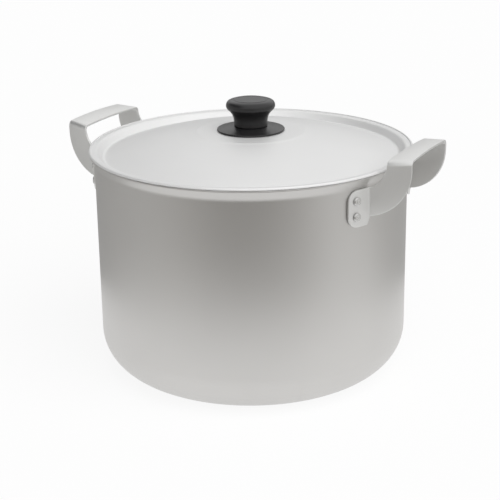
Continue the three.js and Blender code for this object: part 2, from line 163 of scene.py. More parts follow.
class ShellSettings(bpy.types.PropertyGroup):
    """Sizes of the shell, which is spun from one sheet."""

    radius: length_setting("Radius", "Outside radius of the wall", 0.132)
    height: length_setting("Height", "Height of the lip", pot_top.z)
    sheet: length_setting("Sheet", "Thickness of the sheet", 0.002)
    corner: length_setting("Corner", "Outside radius between base and wall", 0.035)
    flare: length_setting("Flare", "How far the lip leans out", 0.004)
    flare_bend: length_setting("Flare Bend", "Radius of the bend between wall and flare", 0.008)
    flare_angle: angle_setting("Flare Angle", "Lean of the lip", 30)
    steps: IntProperty(name="Steps", description="Faces round the wall", default=256, min=48)


class LidSettings(bpy.types.PropertyGroup):
    """Sizes of the lid, which is pressed from a thinner sheet."""

    radius: length_setting("Radius", "Outside radius of the bead", 0.1365)
    sheet: length_setting("Sheet", "Thickness of the sheet", 0.0012)
    seat_gap: length_setting("Seat Gap", "Play between lid and lip", 0.0003)
    bead: length_setting("Bead", "Width and height of the rolled edge", 0.0019)
    bead_foot: length_setting("Bead Foot", "Rounding of the edge under the bead", 0.0002)
    flange: length_setting("Flange", "Width of the flat edge, with its bead", 0.0068)
    ring_depth: length_setting("Ring Depth", "Drop of the sunk ring into the pot", 0.0065)
    ring_lean: angle_setting("Ring Lean", "Slope of the ring's wall", 40)
    ring_top: length_setting("Ring Top", "Radius of the bend at the flange", 0.003)
    ring_foot: length_setting("Ring Foot", "Radius of the bend at the dome", 0.0025)
    dome_rise: length_setting("Dome Rise", "Height of the knob's seat above the flange", 0.0123)
    seat_radius: length_setting("Seat Radius", "Radius of the flat under the knob", 0.0455)
    seat_step: length_setting("Seat Step", "Height of the step round the flat", 0.0007)
    seat_run: length_setting("Seat Run", "Width of the step round the flat", 0.003)
    seat_round: length_setting("Seat Round", "Radius of the bends of that step", 0.004)
    screw_hole: length_setting("Screw Hole", "Radius of the hole for the screw", 0.0028)
    steps: IntProperty(name="Steps", description="Faces round the lid", default=256, min=48)


class KnobSettings(bpy.types.PropertyGroup):
    """Sizes of the knob's head and skirt."""

    neck: length_setting("Neck", "Radius of the neck", 0.01407)
    neck_height: length_setting("Neck Height", "Height of the straight neck", 0.0021)
    neck_round: length_setting("Neck Round", "Rounding at the foot of the neck", 0.0005)
    head: length_setting("Head", "Radius of the head", 0.02065)
    belly_height: length_setting("Belly Height", "Height of the widest place", 0.01705)
    crown: length_setting("Crown", "Radius of the middle of the crown", 0.0108)
    crown_drop: length_setting("Crown Drop", "Fall from the crown to that radius", 0.0008)
    ring: length_setting("Ring", "Radius of the raised ring", 0.0138)
    ring_width: length_setting("Ring Width", "Half the width of the raised ring", 0.0011)
    ring_height: length_setting("Ring Height", "Height of the raised ring", 0.00035)
    bush_bore: length_setting("Bush Bore", "Radius of the hole for the bush", 0.0053)
    bush_depth: length_setting("Bush Depth", "Depth of the hole for the bush", 0.0126)
    skirt: length_setting("Skirt", "Radius of the skirt", 0.0285)
    skirt_edge: length_setting("Skirt Edge", "Height of the skirt's edge", 0.0012)
    skirt_round: length_setting("Skirt Round", "Rounding of the skirt's edge", 0.0006)
    shoulder: length_setting("Shoulder", "Width of the flat round the neck", 0.0009)
    steps: IntProperty(name="Steps", description="Faces round the knob", default=128, min=24)


class FastenerSettings(bpy.types.PropertyGroup):
    """Sizes of the screw and washer under the lid."""

    shank: length_setting("Shank", "Radius of the screw's shank", 0.0025)
    head: length_setting("Head", "Radius of the screw's head", 0.0048)
    head_height: length_setting("Head Height", "Height of the screw's head", 0.0028)
    head_round: length_setting("Head Round", "Rounding of the screw's head", 0.0016)
    tip: length_setting("Tip", "Chamfer at the screw's tip", 0.0006)
    slot_length: length_setting("Slot Length", "Length of the cross recess", 0.0052)
    slot_width: length_setting("Slot Width", "Width of the arms of the cross recess", 0.0009)
    slot_depth: length_setting("Slot Depth", "Depth of the cross recess", 0.0014)
    washer: length_setting("Washer", "Radius of the washer", 0.0075)
    washer_round: length_setting("Washer Round", "Rounding of the washer's edges", 0.0002)
    steps: IntProperty(name="Steps", description="Faces round screw and washer", default=48, min=12)


class HandleSettings(bpy.types.PropertyGroup):
    """Sizes of the strap handles."""

    sheet: length_setting("Sheet", "Thickness of the strap", 0.002)
    seat_gap: length_setting("Seat Gap", "Play between tab and wall", 0.0003)
    reach: length_setting("Reach", "From the wall to the bar's outer edge", 0.0273)
    edge: length_setting("Edge", "Rounding of the strap's edges", 0.0005)
    bar_length: length_setting("Bar Length", "Length of the bar, along its outer edge", 0.0782)
    bar_width: length_setting("Bar Width", "Width of the bar", 0.019)
    bar_rise: length_setting("Bar Rise", "Height of the bar's inner edge above the lip", 0.0126)
    bar_tilt: angle_setting("Bar Tilt", "Slope of the bar up to its outer edge", 5)
    bar_crown: length_setting("Bar Crown", "Height of the bar's arch", 0.0012)
    bar_bend: length_setting("Bar Bend", "Inner radius of the bend at the bar", 0.0026)
    toe_in: angle_setting("Toe In", "Slope of the arms towards each other", 9.5)
    arm_outer: length_setting("Arm Outer", "Radius of the arm's outer curve", 0.038)
    arm_inner: length_setting("Arm Inner", "Radius of the arm's inner curve", 0.0226)
    arm_straight: length_setting("Arm Straight", "Straight stretch of the outer edge", 0.0046)
    tab_bend: length_setting("Tab Bend", "Inner radius of the bend at the tab", 0.0025)
    tab_length: length_setting("Tab Length", "Length of the tab along the wall", 0.0196)
    tab_corner: length_setting("Tab Corner", "Radius of the tab's free corners", 0.0095)
    tab_gap: length_setting("Tab Gap", "Drop from the flare to the tab's top", 0.0009)
    tab_foot: length_setting("Tab Foot", "Drop from the arm to the tab's foot", 0.0068)


class RivetSettings(bpy.types.PropertyGroup):
    """Sizes of the rivets that hold the handles."""

    shank: length_setting("Shank", "Radius of the shank", 0.0021)
    spacing: length_setting("Spacing", "Distance between the two rivets of a tab", 0.0128)
    setback: length_setting("Setback", "Distance from the free end of the tab", 0.0082)
    flat: length_setting("Flat", "Radius of the inside head", 0.0046)
    flat_height: length_setting("Flat Height", "Height of the inside head", 0.0013)
    flat_round: length_setting("Flat Round", "Rounding of the inside head", 0.0008)
    formed: length_setting("Formed", "Radius of the outside head", 0.0035)
    formed_height: length_setting("Formed Height", "Height of the outside head", 0.0015)
    formed_round: length_setting("Formed Round", "Rounding of the outside head", 0.0012)
    dimple: length_setting("Dimple", "Radius of the dimple in the outside head", 0.0016)
    dimple_depth: length_setting("Dimple Depth", "Depth of the dimple", 0.0007)
    sag: length_setting("Sag", "Play between inside head and round wall", 0.00066)
    steps: IntProperty(name="Steps", description="Faces round each rivet", default=40, min=12)


class FinishSettings(bpy.types.PropertyGroup):
    """Colours of the metals and of the knob."""

    shell: colour_setting("Shell", "Spun aluminium of the shell", (0.635, 0.626, 0.612))
    lid: colour_setting("Lid", "Pressed aluminium of the lid", (0.752, 0.752, 0.749))
    handle: colour_setting("Handle", "Blasted aluminium of the handles", (0.755, 0.755, 0.745))
    rivet: colour_setting("Rivet", "Formed aluminium of the rivets", (0.66, 0.66, 0.65))
    knob: colour_setting("Knob", "Black moulding of the knob", (0.013, 0.0125, 0.013))
    steel: colour_setting("Steel", "Plated steel of screw and washer", (0.56, 0.57, 0.58))
    brass: colour_setting("Brass", "Turned brass of the bush", (0.6, 0.43, 0.17))


class StageSettings(bpy.types.PropertyGroup):
    """Camera, floor, light, cove and canopy of the studio."""

    camera_place: place_setting("Camera Place", "Where the camera stands", (0.4754, -0.888, 0.4488))
    camera_turn: turn_setting("Camera Turn", "Pitch, roll and heading of the camera", (72.647, -0.6, 27.526))
    lens: FloatProperty(name="Lens", description="Focal length in millimetres", default=88.3, unit="CAMERA")
    shift: FloatVectorProperty(
        name="Shift", description="Shift of the picture across and up", size=2, default=(-0.03, -0.0818)
    )
    fill: FloatProperty(name="Fill", description="Strength of the room's light", default=0.25)
    overhead: FloatProperty(name="Overhead", description="Strength of the overhead light", default=2.75)
    overhead_turn: turn_setting("Overhead Turn", "Slant of the overhead light", (19, 34, 0))
    overhead_spread: angle_setting("Overhead Spread", "Softness of its shadow", 70)
    floor: colour_setting("Floor", "Pale floor", (0.93, 0.93, 0.93))
    cove_near: length_setting("Cove Near", "Radius of the cove's foot", 0.275)
    cove_lead: length_setting("Cove Lead", "How far the cove stands towards the viewer", 0.04)
    cove_far: length_setting("Cove Far", "Radius of the cove's top", 1.2)
    cove_height: length_setting("Cove Height", "Height of the cove", 0.46)
    cove_heading: angle_setting("Cove Heading", "Turn from the pot's front to the viewer", 28)
    canopy_place: place_setting("Canopy Place", "Middle of the grey canopy", (-1.09, -0.46, 1.12))
    canopy_turn: turn_setting("Canopy Turn", "Slant of the canopy towards the pot", (52, 0, -67))
    canopy_size: FloatVectorProperty(
        name="Canopy Size",
        description="Width and depth of the canopy",
        size=2,
        default=(2.6, 1.1),
        unit="LENGTH",
    )
    canopy_tone: FloatProperty(name="Canopy Tone", description="Grey that metal mirrors", default=0.1)


def start_piece(name):
    """Add a plane under a piece's name, draw it together to one point and stay in edit mode."""
    bpy.ops.object.select_all(action="DESELECT")
    bpy.ops.mesh.primitive_plane_add(size=START_SIZE)
    piece = bpy.context.active_object
    piece.name = name
    piece.data.name = name
    bpy.ops.object.mode_set(mode="EDIT")
    bpy.ops.mesh.select_mode(type="VERT")
    bpy.ops.mesh.select_all(action="SELECT")
    bpy.ops.mesh.merge(type="CENTER")
    return piece


def pick(piece, kind, test):
    """Select the vertices, edges or faces of a mesh in edit mode that pass a test."""
    bpy.ops.mesh.select_mode(type=kind)
    bpy.ops.mesh.select_all(action="DESELECT")
    mesh = bmesh.from_edit_mesh(piece.data)
    parts = {"VERT": mesh.verts, "EDGE": mesh.edges, "FACE": mesh.faces}[kind]
    chosen = [part for part in parts if test(part)]
    if not chosen:
        raise RuntimeError(f"{piece.name} has nothing to select there")
    for part in chosen:
        part.select_set(True)
    mesh.select_flush_mode()
    bmesh.update_edit_mesh(piece.data)


def pick_points(piece, *points):
    """Select the vertices that lie at the given points."""
    pick(piece, "VERT", lambda vert: any((vert.co - point).length < PLACE_MARGIN for point in points))


def on_circle(edge, radius, height):
    """Whether an edge lies on a level circle about the upright axis."""
    return all(
        abs(vert.co.to_2d().length - radius) < PLACE_MARGIN and abs(vert.co.z - height) < PLACE_MARGIN
        for vert in edge.verts
    )


def draw_line(name, corners):
    """Draw a wire through corners of radius, height and rounding, in the plane of X and Z."""
    piece = start_piece(name)
    points = [Vector((across, 0, up)) for across, up, _ in corners]
    bpy.ops.transform.translate(value=points[0])
    for here, there in zip(points, points[1:]):
        bpy.ops.mesh.extrude_vertices_move(TRANSFORM_OT_translate={"value": there - here})
    for i, (_, _, rounding) in enumerate(corners):
        if rounding:
            turn = (points[i] - points[i - 1]).angle(points[i + 1] - points[i])
            pick_points(piece, points[i])
            bpy.ops.mesh.bevel(
                offset=rounding * math.tan(turn / 2),
                segments=max(LEAST_CORNER_FACES, math.ceil(turn / CORNER_STEP)),
                profile=ROUND_PROFILE,
                affect="VERTICES",
            )
    return piece


def spin_round(steps):
    """Spin the wire in edit mode about the upright axis and close its seam and poles."""
    bpy.ops.mesh.select_all(action="SELECT")
    bpy.ops.mesh.spin(steps=steps, angle=math.tau, center=(0, 0, 0), axis=(0, 0, 1))
    bpy.ops.mesh.select_all(action="SELECT")
    bpy.ops.mesh.remove_doubles(threshold=MERGE_DISTANCE)
    bpy.ops.mesh.normals_make_consistent(inside=False)


def face_out(piece, pole):
    """Turn an open sheet so that its outermost face towards a pole looks that way."""
    mesh = bmesh.from_edit_mesh(piece.data)
    outermost = max(mesh.faces, key=lambda face: face.calc_center_median().dot(pole))
    if outermost.normal.dot(pole) < 0:
        bpy.ops.mesh.select_all(action="SELECT")
        bpy.ops.mesh.flip_normals()


def apply_modifier(piece, kind, **settings):
    """Add a modifier with its settings and apply it."""
    bpy.context.view_layer.objects.active = piece
    modifier = piece.modifiers.new(kind.title(), kind)
    for setting, value in settings.items():
        setattr(modifier, setting, value)
    bpy.ops.object.modifier_apply(modifier=modifier.name)


def ease_edges(piece, width, faces):
    """Round off the sharp edges of a sheet."""
    apply_modifier(
        piece,
        "BEVEL",
        width=width,
        segments=faces,
        limit_method="ANGLE",
        angle_limit=RIM_ANGLE,
    )


def leave_edit_mode():
    """Go back to object mode."""
    bpy.ops.object.mode_set(mode="OBJECT")


def select_alone(piece):
    """Select one piece and nothing else."""
    bpy.ops.object.select_all(action="DESELECT")
    piece.select_set(True)
    bpy.context.view_layer.objects.active = piece


def apply_place():
    """Move the place, turn and scale of what is selected into its mesh."""
    bpy.ops.object.transform_apply(location=True, rotation=True, scale=True)


def copy_piece(piece, name, turn, height=0):
    """Copy a piece with its own mesh, turn the copy, raise it and keep its place in its mesh."""
    select_alone(piece)
    bpy.ops.object.duplicate(linked=False)
    copy = bpy.context.active_object
    copy.name = name
    copy.data.name = name
    copy.rotation_euler = turn
    copy.location.z = height
    apply_place()
    return copy


def give_finish(piece, material):
    """Let a piece have one material alone."""
    piece.data.materials.clear()
    piece.data.materials.append(material)


def finish_piece(piece, body, node, material):
    """Smooth a piece, give it its finish and let it stand for its node on a body."""
    select_alone(piece)
    bpy.ops.object.shade_smooth_by_angle(angle=SMOOTH_ANGLE)
    give_finish(piece, material)
    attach(piece, body)
    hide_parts(node)


def new_group(name, inputs, outputs):
    """Start a shader group with its named sockets, and give it with its input and output nodes."""
    group = bpy.data.node_groups.new(name, "ShaderNodeTree")
    for label, kind in inputs:
        group.interface.new_socket(name=label, in_out="INPUT", socket_type=kind)
    for label, kind in outputs:
        group.interface.new_socket(name=label, in_out="OUTPUT", socket_type=kind)
    return group, group.nodes.new("NodeGroupInput"), group.nodes.new("NodeGroupOutput")


def turned_lines():
    """Fine rings about the upright axis, as a spinning tool leaves them."""
    group = bpy.data.node_groups.get("Turned Lines")
    if group:
        return group
    group, entry, result = new_group(
        "Turned Lines",
        [("Position", "NodeSocketVector"), ("Marks per Metre", "NodeSocketFloat")],
        [("Height", "NodeSocketFloat")],
    )
    nodes, links = group.nodes, group.links
    split = nodes.new("ShaderNodeSeparateXYZ")
    flat = nodes.new("ShaderNodeCombineXYZ")
    radius = nodes.new("ShaderNodeVectorMath")
    radius.operation = "LENGTH"
    section = nodes.new("ShaderNodeCombineXYZ")
    lines = nodes.new("ShaderNodeTexNoise")
    lines.noise_dimensions = "2D"
    lines.inputs["Detail"].default_value = LINE_DETAIL
    links.new(entry.outputs["Position"], split.inputs["Vector"])
    links.new(split.outputs["X"], flat.inputs["X"])
    links.new(split.outputs["Y"], flat.inputs["Y"])
    links.new(flat.outputs["Vector"], radius.inputs[0])
    links.new(radius.outputs["Value"], section.inputs["X"])
    links.new(split.outputs["Z"], section.inputs["Y"])
    links.new(section.outputs["Vector"], lines.inputs["Vector"])
    links.new(entry.outputs["Marks per Metre"], lines.inputs["Scale"])
    links.new(lines.outputs["Fac"], result.inputs["Height"])
    return group


def fine_grain():
    """An even grain, as of a blasted or moulded face."""
    group = bpy.data.node_groups.get("Fine Grain")
    if group:
        return group
    group, entry, result = new_group(
        "Fine Grain",
        [("Position", "NodeSocketVector"), ("Marks per Metre", "NodeSocketFloat")],
        [("Height", "NodeSocketFloat")],
    )
    grain = group.nodes.new("ShaderNodeTexNoise")
    grain.inputs["Detail"].default_value = GRAIN_DETAIL
    group.links.new(entry.outputs["Position"], grain.inputs["Vector"])
    group.links.new(entry.outputs["Marks per Metre"], grain.inputs["Scale"])
    group.links.new(grain.outputs["Fac"], result.inputs["Height"])
    return group


def tone_drift():
    """A slow drift of a colour between a darker and a lighter tone of itself."""
    group = bpy.data.node_groups.get("Tone Drift")
    if group:
        return group
    group, entry, result = new_group(
        "Tone Drift",
        [
            ("Position", "NodeSocketVector"),
            ("Dark", "NodeSocketColor"),
            ("Light", "NodeSocketColor"),
            ("Patches per Metre", "NodeSocketFloat"),
        ],
        [("Colour", "NodeSocketColor")],
    )
    patches = group.nodes.new("ShaderNodeTexNoise")
    patches.inputs["Detail"].default_value = PATCH_DETAIL
    mix = group.nodes.new("ShaderNodeMix")
    mix.data_type = "RGBA"
    dark, light = (socket for socket in mix.inputs if socket.type == "RGBA")
    mixed = next(socket for socket in mix.outputs if socket.type == "RGBA")
    group.links.new(entry.outputs["Position"], patches.inputs["Vector"])
    group.links.new(entry.outputs["Patches per Metre"], patches.inputs["Scale"])
    group.links.new(patches.outputs["Fac"], mix.inputs["Factor"])
    group.links.new(entry.outputs["Dark"], dark)
    group.links.new(entry.outputs["Light"], light)
    group.links.new(mixed, result.inputs["Colour"])
    return group


def make_finish(name, colour, texture, *, metallic, roughness, density, bump):
    """A material with a drifting colour and a fine texture that roughens and shades its face."""
    material = bpy.data.materials.new(name)
    material.use_nodes = True
    nodes, links = material.node_tree.nodes, material.node_tree.links
    shader = nodes["Principled BSDF"]
    shader.inputs["Metallic"].default_value = metallic
    place = nodes.new("ShaderNodeTexCoord").outputs["Object"]
    drift = nodes.new("ShaderNodeGroup")
    drift.node_tree = tone_drift()
    drift.inputs["Dark"].default_value = (*(DARKER * channel for channel in colour), 1)
    drift.inputs["Light"].default_value = (*(LIGHTER * channel for channel in colour), 1)
    drift.inputs["Patches per Metre"].default_value = PATCHES_PER_METRE
    grain = nodes.new("ShaderNodeGroup")
    grain.node_tree = texture
    grain.inputs["Marks per Metre"].default_value = density
    rough = nodes.new("ShaderNodeMapRange")
    rough.inputs["To Min"].default_value = roughness - ROUGHNESS_SPREAD
    rough.inputs["To Max"].default_value = roughness + ROUGHNESS_SPREAD
    relief = nodes.new("ShaderNodeBump")
    relief.inputs["Strength"].default_value = bump
    relief.inputs["Distance"].default_value = RELIEF_DEPTH
    links.new(place, drift.inputs["Position"])
    links.new(place, grain.inputs["Position"])
    links.new(drift.outputs["Colour"], shader.inputs["Base Color"])
    links.new(grain.outputs["Height"], rough.inputs["Value"])
    links.new(rough.outputs["Result"], shader.inputs["Roughness"])
    links.new(grain.outputs["Height"], relief.inputs["Height"])
    links.new(relief.outputs["Normal"], shader.inputs["Normal"])
    return material


def spun_aluminium(finishes):
    """The shell's bare aluminium, with the fine lines of its spinning."""
    return make_finish(
        "spun_aluminium",
        finishes.shell,
        turned_lines(),
        metallic=1.0,
        roughness=0.4,
        density=1500,
        bump=0.12,
    )


def pressed_aluminium(finishes):
    """The lid's paler and more matt aluminium."""
    return make_finish(
        "pressed_aluminium",
        finishes.lid,
        turned_lines(),
        metallic=0.38,
        roughness=0.5,
        density=900,
        bump=0.05,
    )


def handle_aluminium(finishes):
    """The handles' aluminium, blasted to an even grey."""
    return make_finish(
        "handle_aluminium",
        finishes.handle,
        fine_grain(),
        metallic=0.88,
        roughness=0.45,
        density=1600,
        bump=0.2,
    )


def rivet_aluminium(finishes):
    """The rivets' smoother aluminium."""
    return make_finish(
        "rivet_aluminium",
        finishes.rivet,
        fine_grain(),
        metallic=1.0,
        roughness=0.27,
        density=2500,
        bump=0.1,
    )


def moulded_black(finishes):
    """The black of the knob, made once for both of its mouldings."""
    return bpy.data.materials.get("moulded_black") or make_finish(
        "moulded_black",
        finishes.knob,
        fine_grain(),
        metallic=0.0,
        roughness=0.34,
        density=700,
        bump=0.15,
    )


def plated_steel(finishes):
    """The plating of screw and washer."""
    return make_finish(
        "plated_steel",
        finishes.steel,
        turned_lines(),
        metallic=1.0,
        roughness=0.3,
        density=3000,
        bump=0.1,
    )


def turned_brass(finishes):
    """The brass of the bush."""
    return make_finish(
        "turned_brass",
        finishes.brass,
        turned_lines(),
        metallic=1.0,
        roughness=0.35,
        density=3000,
        bump=0.1,
    )


def flare_foot(shell):
    """Height at which the outside of the wall leans out to the lip."""
    half = shell.sheet / 2
    rise = shell.flare / math.tan(shell.flare_angle) + half * math.tan(shell.flare_angle / 2)
    return shell.height - half - rise


class COOKINGPOT_OT_shell(bpy.types.Operator):
    """Spin the shell of the pot, with its round base corner and flared lip"""

    bl_idname = "cooking_pot.shell"
    bl_label = "Pot Shell"
    bl_options = {"REGISTER", "UNDO"}

    def execute(self, context):
        shell = context.scene.pot_shell
        half = shell.sheet / 2
        bend = Vector((shell.radius, flare_foot(shell)))
        lean = Vector((math.sin(shell.flare_angle), math.cos(shell.flare_angle)))
        straight = shell.flare / lean.x - half * math.tan(shell.flare_angle / 2) + half
        end = bend + straight * lean
        piece = draw_line(
            "pot_shell",
            [(0, 0, 0), (shell.radius, 0, shell.corner), (*bend, shell.flare_bend), (*end, 0)],
        )
        spin_round(shell.steps)
        face_out(piece, POT_POLE)
        leave_edit_mode()
        apply_modifier(piece, "SOLIDIFY", thickness=shell.sheet, offset=-1, use_even_offset=True)
        ease_edges(piece, half - PLACE_MARGIN, LIP_FACES)
        material = spun_aluminium(context.scene.pot_finishes)
        finish_piece(piece, "pot", "pot_body", material)
        return {"FINISHED"}


def dome_points(inner, outer):
    """Corners between two circles of a dome, each a radius and a height, on an arc about the upright axis."""
    (inner_radius, inner_height), (outer_radius, outer_height) = inner, outer
    apart = outer_radius**2 + outer_height**2 - inner_radius**2 - inner_height**2
    centre = apart / (2 * (outer_height - inner_height))
    dome = math.hypot(outer_radius, outer_height - centre)
    start = math.atan2(inner_height - centre, inner_radius)
    end = math.atan2(outer_height - centre, outer_radius)
    angles = (start + (end - start) * i / DOME_STEPS for i in range(1, DOME_STEPS))
    return [(dome * math.cos(angle), centre + dome * math.sin(angle), 0) for angle in angles]


class COOKINGPOT_OT_lid(bpy.types.Operator):
    """Press the lid: knob seat, dome, sunk ring, flange and rolled bead"""

    bl_idname = "cooking_pot.lid"
    bl_label = "Lid"
    bl_options = {"REGISTER", "UNDO"}

    def execute(self, context):
        shell, lid = context.scene.pot_shell, context.scene.pot_lid
        flange_top = shell.height + lid.seat_gap + lid.sheet
        seat = flange_top + lid.dome_rise
        ring_top = lid.radius - lid.flange
        ring_foot = ring_top - lid.ring_depth * math.tan(lid.ring_lean)
        foot_height = flange_top - lid.ring_depth
        step_foot = lid.seat_radius + lid.seat_run
        step_height = seat - lid.seat_step
        bead_start = lid.radius - lid.bead
        piece = draw_line(
            "lid_pressing",
            [
                (lid.screw_hole, seat, 0),
                (lid.seat_radius, seat, lid.seat_round),
                (step_foot, step_height, lid.seat_round),
                *dome_points((step_foot, step_height), (ring_foot, foot_height)),
                (ring_foot, foot_height, lid.ring_foot),
                (ring_top, flange_top, lid.ring_top),
                (bead_start, flange_top, 0),
                (lid.radius, flange_top, 0),
            ],
        )
        spin_round(lid.steps)
        face_out(piece, LID_POLE)
        leave_edit_mode()
        apply_modifier(piece, "SOLIDIFY", thickness=lid.sheet, offset=-1, use_even_offset=True)
        self.roll_bead(piece, lid, bead_start, flange_top)
        material = pressed_aluminium(context.scene.pot_finishes)
        finish_piece(piece, "lid", "lid_pan", material)
        return {"FINISHED"}

    def roll_bead(self, piece, lid, bead_start, flange_top):
        """Raise the edge of the flange and round it off to a bead."""

        def on_top(face):
            return face.normal.z > LEVEL_NORMAL and face.calc_center_median().to_2d().length > bead_start

        rise = lid.bead - lid.sheet
        top = flange_top + rise
        bottom = flange_top - lid.sheet
        bpy.ops.object.mode_set(mode="EDIT")
        pick(piece, "FACE", on_top)
        bpy.ops.mesh.extrude_region_move(TRANSFORM_OT_translate={"value": (0, 0, rise)})
        pick(piece, "EDGE", lambda edge: on_circle(edge, lid.radius, flange_top))
        bpy.ops.mesh.dissolve_edges(use_verts=True)
        pick(piece, "EDGE", lambda edge: on_circle(edge, bead_start, top))
        bpy.ops.mesh.bevel(offset=rise / 2, segments=EASED_FACES, profile=ROUND_PROFILE)
        pick(piece, "EDGE", lambda edge: on_circle(edge, lid.radius, bottom))
        bpy.ops.mesh.bevel(offset=lid.bead_foot, segments=EASED_FACES, profile=ROUND_PROFILE)
        pick(piece, "EDGE", lambda edge: on_circle(edge, lid.radius, top))
        crest = lid.bead - max(rise / 2, lid.bead_foot) - PLACE_MARGIN
        bpy.ops.mesh.bevel(offset=crest, segments=CREST_FACES, profile=ROUND_PROFILE)
        leave_edit_mode()


class COOKINGPOT_OT_knob_head(bpy.types.Operator):
    """Turn the head of the knob, with a plain raised ring on its crown"""

    bl_idname = "cooking_pot.knob_head"
    bl_label = "Knob Head"
    bl_options = {"REGISTER", "UNDO"}

    def execute(self, context):
        knob = context.scene.pot_knob

        def ring(radius):
            return max(0, 1 - ((radius - knob.ring) / knob.ring_width) ** 2) * knob.ring_height

        bottom, crown = head_bottom.z, head_top.z
        neck_top = bottom + knob.neck_height
        belly = bottom + knob.belly_height
        edge = crown - knob.crown_drop
        under = interpolate_bezier(
            Vector((knob.neck, neck_top)),
            Vector((knob.neck, neck_top + NECK_PULL * (belly - neck_top))),
            Vector((knob.head, belly - BELLY_UNDER_PULL * (belly - neck_top))),
            Vector((knob.head, belly)),
            HEAD_POINTS,
        )
        over = interpolate_bezier(
            Vector((knob.head, belly)),
            Vector((knob.head, belly + BELLY_OVER_PULL * (crown - belly))),
            Vector((knob.crown + CROWN_PULL * (knob.head - knob.crown), edge)),
            Vector((knob.crown, edge)),
            2 * HEAD_POINTS,
        )
        bore_top = bottom + knob.bush_depth
        piece = draw_line(
            "knob_moulding",
            [
                (0, bore_top, 0),
                (knob.bush_bore, bore_top, 0),
                (knob.bush_bore, bottom, 0),
                (knob.neck, bottom, knob.neck_round),
                *((point.x, point.y, 0) for point in under),
                *((point.x, point.y + ring(point.x), 0) for point in over[1:]),
                (0, crown, 0),
            ],
        )
        spin_round(knob.steps)
        leave_edit_mode()
        material = moulded_black(context.scene.pot_finishes)
        finish_piece(piece, "lid", "knob_head", material)
        return {"FINISHED"}


class COOKINGPOT_OT_knob_skirt(bpy.types.Operator):
    """Turn the sloped skirt under the knob"""

    bl_idname = "cooking_pot.knob_skirt"
    bl_label = "Knob Skirt"
    bl_options = {"REGISTER", "UNDO"}

    def execute(self, context):
        knob, hole = context.scene.pot_knob, context.scene.pot_lid.screw_hole
        bottom, top = skirt_bottom.z, skirt_top.z
        piece = draw_line(
            "knob_skirt_moulding",
            [
                (hole, bottom, 0),
                (knob.skirt, bottom, knob.skirt_round / 2),
                (knob.skirt, bottom + knob.skirt_edge, knob.skirt_round),
                (knob.neck + knob.shoulder, top, knob.skirt_round),
                (hole, top, 0),
                (hole, bottom, 0),
            ],
        )
        spin_round(knob.steps)
        leave_edit_mode()
        material = moulded_black(context.scene.pot_finishes)
        finish_piece(piece, "lid", "knob_skirt", material)
        return {"FINISHED"}


class COOKINGPOT_OT_fasteners(bpy.types.Operator):
    """Make the screw and washer under the lid, and give the bush its brass"""

    bl_idname = "cooking_pot.fasteners"
    bl_label = "Knob Fasteners"
    bl_options = {"REGISTER", "UNDO"}

    def execute(self, context):
        fastener, finishes = context.scene.pot_fasteners, context.scene.pot_finishes
        steel = plated_steel(finishes)
        screw = self.turn_screw(fastener)
        finish_piece(screw, "lid", "knob_screw", steel)
        washer = self.turn_washer(fastener, context.scene.pot_lid.screw_hole)
        finish_piece(washer, "lid", "knob_washer", steel)
        give_finish(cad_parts["knob_insert"], turned_brass(finishes))
        return {"FINISHED"}

    def turn_screw(self, fastener):
        """The screw, head down, with a cross recess."""
        head_end = screw_bottom.z
        seat = head_end + fastener.head_height
        tip = screw_top.z
        screw = draw_line(
            "knob_fixing_screw",
            [
                (0, head_end, 0),
                (fastener.head, head_end, fastener.head_round),
                (fastener.head, seat, 0),
                (fastener.shank, seat, 0),
                (fastener.shank, tip - fastener.tip, 0),
                (fastener.shank - fastener.tip, tip, 0),
                (0, tip, 0),
            ],
        )
        spin_round(fastener.steps)
        leave_edit_mode()
        self.cut_cross(screw, fastener, head_end)
        return screw

    def turn_washer(self, fastener, hole):
        """The flat washer between the screw's head and the lid."""
        under, over = washer_bottom.z, washer_top.z
        washer = draw_line(
            "knob_fixing_washer",
            [
                (hole, under, 0),
                (fastener.washer, under, fastener.washer_round),
                (fastener.washer, over, fastener.washer_round),
                (hole, over, 0),
                (hole, under, 0),
            ],
        )
        spin_round(fastener.steps)
        leave_edit_mode()
        return washer

    def cut_cross(self, screw, fastener, head_end):
        """Sink a cross recess into the screw's head."""
        bpy.ops.object.select_all(action="DESELECT")
        for turn in (0, math.pi / 2):
            bpy.ops.mesh.primitive_cube_add(size=1, location=(0, 0, head_end), rotation=(0, 0, turn))
            cutter = bpy.context.active_object
            cutter.scale = (fastener.slot_length, fastener.slot_width, 2 * fastener.slot_depth)
            apply_place()
            apply_modifier(screw, "BOOLEAN", object=cutter, operation="DIFFERENCE", solver="EXACT")
            bpy.data.objects.remove(cutter)


